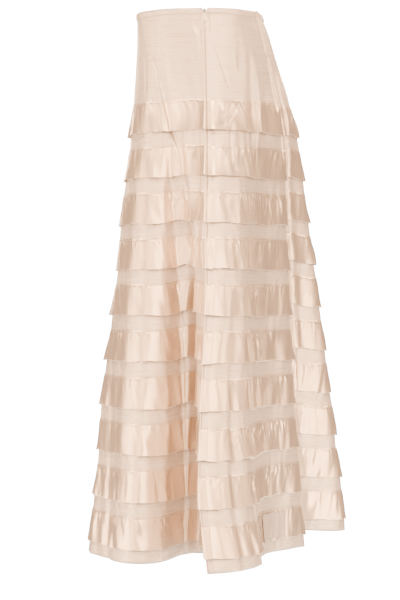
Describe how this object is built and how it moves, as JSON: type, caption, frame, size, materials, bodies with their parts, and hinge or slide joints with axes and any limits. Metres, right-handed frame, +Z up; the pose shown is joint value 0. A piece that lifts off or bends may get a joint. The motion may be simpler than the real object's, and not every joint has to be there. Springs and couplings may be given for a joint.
{
  "type": "midi skirt",
  "caption": "Long flared skirt with tiers of satin ribbon round a plain yoke, a narrow waist edge and a side zip, held open and hollow as worn.",
  "frame": {"origin": "centre of the waist's top edge, where the wearer's waist holds the skirt", "axes": "+Z up, -Y to the wearer's front, +X to the wearer's left side, where the zip is"},
  "size_m": [0.6941, 0.434, 0.8627],
  "materials": {
    "taffeta": "matte slubbed taffeta",
    "satin": "satin ribbon",
    "zip_tape": "woven tape",
    "slider_metal": "plain cast metal",
    "tab_enamel": "satin enamel"
  },
  "bodies": {
    "skirt": {"front_panel": "taffeta", "back_panel": "taffeta", "waist_tape_front": "taffeta", "waist_tape_back": "taffeta", "ribbon_01_front": "satin", "ribbon_01_back": "satin", "ribbon_02_front": "satin", "ribbon_02_back": "satin", "ribbon_03_front": "satin", "ribbon_03_back": "satin", "ribbon_04_front": "satin", "ribbon_04_back": "satin", "ribbon_05_front": "satin", "ribbon_05_back": "satin", "ribbon_06_front": "satin", "ribbon_06_back": "satin", "ribbon_07_front": "satin", "ribbon_07_back": "satin", "ribbon_08_front": "satin", "ribbon_08_back": "satin", "ribbon_09_front": "satin", "ribbon_09_back": "satin", "ribbon_10_front": "satin", "ribbon_10_back": "satin", "zip_tape_front": "zip_tape", "zip_tape_back": "zip_tape", "zip_slider": "slider_metal"},
    "pull_tab": {"zip_pull_tab": "tab_enamel"}
  },
  "joints": [
    {"name": "pull_tab_swing", "type": "hinge", "parent": "skirt", "child": "pull_tab", "pos_m": [0.13299, 0.00712, -0.00746], "axis": [0.0051, -0.9996, -0.0283], "range_deg": [0, 150]}
  ]
}
